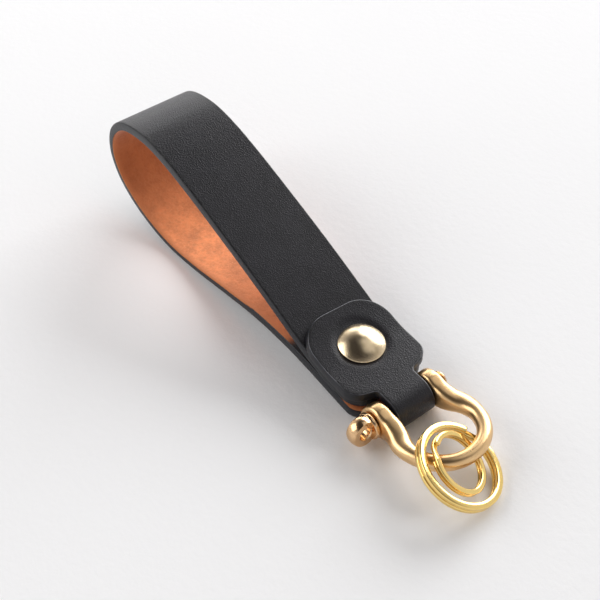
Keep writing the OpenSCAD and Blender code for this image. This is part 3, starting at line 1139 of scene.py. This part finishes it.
def make_stage(stage):
    """Pale floor, soft studio light and the camera."""
    bm = bmesh.new()
    bmesh.ops.create_grid(bm, x_segments=8, y_segments=8, size=6.0)
    floor = as_object(bm, "floor", Matrix.Translation((0, 0, -0.00005)))
    finish = Finish("pale_floor", Specular_IOR_Level=0.2)
    cloud = finish.noise(9.0, 4.0)
    plaster = finish.noise(420.0, 5.0, 0.6)
    finish.set(
        Base_Color=finish.mix(cloud, shade(stage.floor, 0.965), stage.floor),
        Roughness=0.75 + plaster * 0.1,
        Normal=finish.bump(plaster, 0.00018, 0.5),
    )
    floor.data.materials.append(finish.material)

    world = bpy.data.worlds.new("studio")
    bpy.context.scene.world = world
    world.use_nodes = True
    nodes = world.node_tree.nodes
    background = nodes["Background"]
    where = nodes.new("ShaderNodeTexCoord")
    split = nodes.new("ShaderNodeSeparateXYZ")
    ramp = nodes.new("ShaderNodeValToRGB")
    sky = (
        (0.0, (0.82, 0.82, 0.83)),
        (0.45, (0.77, 0.76, 0.76)),
        (0.70, (0.20, 0.19, 0.19)),
        (0.82, (0.03, 0.027, 0.027)),
    )
    Finish.set_stops(ramp.color_ramp, sky)
    links = world.node_tree.links
    links.new(where.outputs["Generated"], split.inputs[0])
    links.new(split.outputs["Z"], ramp.inputs[0])
    links.new(ramp.outputs[0], background.inputs["Color"])
    background.inputs["Strength"].default_value = 1.0

    soft_box("window_light", (-0.62, 1.80, 0.94), (1.9, 1.25), 43.0)
    soft_box("back_light", (-1.72, 0.80, 0.60), (0.9, 0.6), 4.5)
    soft_box("fill_light", (-0.62, -0.70, 0.62), (0.90, 0.70), 5.5, (1.0, 0.99, 0.97))
    soft_box("top_light", (0.28, 0.74, 1.50), (1.3, 1.0), 2.8)

    camera_data = bpy.data.cameras.new("camera")
    camera_data.lens = stage.lens
    camera_data.sensor_width = 36.0
    camera_data.clip_start = 0.01
    heading = Vector((math.cos(stage.heading), math.sin(stage.heading), 0.0))
    forward = heading * math.cos(stage.pitch) - Vector((0, 0, 1)) * math.sin(stage.pitch)
    target = Vector((-7.42, 7.86, 0.0)) * MM
    right = forward.cross(Vector((0, 0, 1))).normalized()
    above = right.cross(forward)
    up = above * math.cos(stage.roll) - right * math.sin(stage.roll)
    camera = aimed(camera_data, "camera", target - forward * stage.distance, target, up)
    bpy.context.scene.camera = camera
    bpy.context.scene.view_settings.view_transform = "Standard"


# ---- Operators, panel and registration ----


class WRISTLET_OT_stage(bpy.types.Operator):
    """Build the floor, the light and the camera"""

    bl_idname = "wristlet.stage"
    bl_label = "Stage"

    def execute(self, context):
        make_stage(context.scene.wristlet_stage)
        return {"FINISHED"}


class WRISTLET_OT_strap(bpy.types.Operator):
    """Cut and bend the leather strap"""

    bl_idname = "wristlet.strap"
    bl_label = "Leather strap"

    def execute(self, context):
        make_strap(context.scene.wristlet_strap, context.scene.wristlet_rivet)
        return {"FINISHED"}


class WRISTLET_OT_rivet(bpy.types.Operator):
    """Turn the rivet's cap and its slotted screw"""

    bl_idname = "wristlet.rivet"
    bl_label = "Screw rivet"

    def execute(self, context):
        make_rivet(context.scene.wristlet_strap, context.scene.wristlet_rivet)
        return {"FINISHED"}


class WRISTLET_OT_bow(bpy.types.Operator):
    """Forge and bore the shackle's bow"""

    bl_idname = "wristlet.bow"
    bl_label = "Shackle bow"

    def execute(self, context):
        make_bow(context.scene.wristlet_shackle)
        return {"FINISHED"}


class WRISTLET_OT_pin(bpy.types.Operator):
    """Turn and thread the shackle's pin"""

    bl_idname = "wristlet.pin"
    bl_label = "Shackle pin"

    def execute(self, context):
        make_pin(context.scene.wristlet_shackle)
        return {"FINISHED"}


class WRISTLET_OT_rings(bpy.types.Operator):
    """Coil the two split rings"""

    bl_idname = "wristlet.rings"
    bl_label = "Split rings"

    def execute(self, context):
        rings = context.scene.wristlet_rings
        gold = worked_brass("bright_brass", rings.gold, 0.04, tarnish=0.2, bump=0.000002)
        for size, node in (("large", "large_split_ring"), ("small", "small_split_ring")):
            sizes = ("radius", "wire", "turn", "bearing", "lean", "opening", "hand")
            values = [getattr(rings, f"{size}_{key}") for key in sizes]
            make_ring(f"{size}_ring", node, f"{size}_ring", *values, gold)
        return {"FINISHED"}


class WRISTLET_PT_build(bpy.types.Panel):
    """Lists the steps that build the wristlet"""

    bl_label = "Wristlet"
    bl_idname = "WRISTLET_PT_build"
    bl_space_type = "VIEW_3D"
    bl_region_type = "UI"
    bl_category = "Wristlet"

    def draw(self, context):
        for operator in OPERATORS:
            self.layout.operator(operator.bl_idname)
        for name in GROUPS:
            group = getattr(context.scene, name)
            box = self.layout.box()
            for key in group.bl_rna.properties.keys():
                if key not in ("rna_type", "name"):
                    box.prop(group, key)


GROUPS = {
    "wristlet_strap": StrapSizes,
    "wristlet_rivet": RivetSizes,
    "wristlet_shackle": ShackleSizes,
    "wristlet_rings": RingSizes,
    "wristlet_stage": StageSizes,
}
OPERATORS = (
    WRISTLET_OT_stage,
    WRISTLET_OT_strap,
    WRISTLET_OT_rivet,
    WRISTLET_OT_bow,
    WRISTLET_OT_pin,
    WRISTLET_OT_rings,
)


def register():
    """Registers the sizes, the operators and the panel."""
    for name, group in GROUPS.items():
        bpy.utils.register_class(group)
        setattr(bpy.types.Scene, name, bpy.props.PointerProperty(type=group))
    for cls in (*OPERATORS, WRISTLET_PT_build):
        bpy.utils.register_class(cls)


def unregister():
    """Takes away what register() added."""
    for cls in (WRISTLET_PT_build, *reversed(OPERATORS)):
        bpy.utils.unregister_class(cls)
    for name, group in reversed(GROUPS.items()):
        delattr(bpy.types.Scene, name)
        bpy.utils.unregister_class(group)


def main():
    """Builds the whole wristlet."""
    register()
    bpy.ops.wristlet.stage()
    bpy.ops.wristlet.strap()
    bpy.ops.wristlet.rivet()
    bpy.ops.wristlet.bow()
    bpy.ops.wristlet.pin()
    bpy.ops.wristlet.rings()


if __name__ == "__main__":
    main()
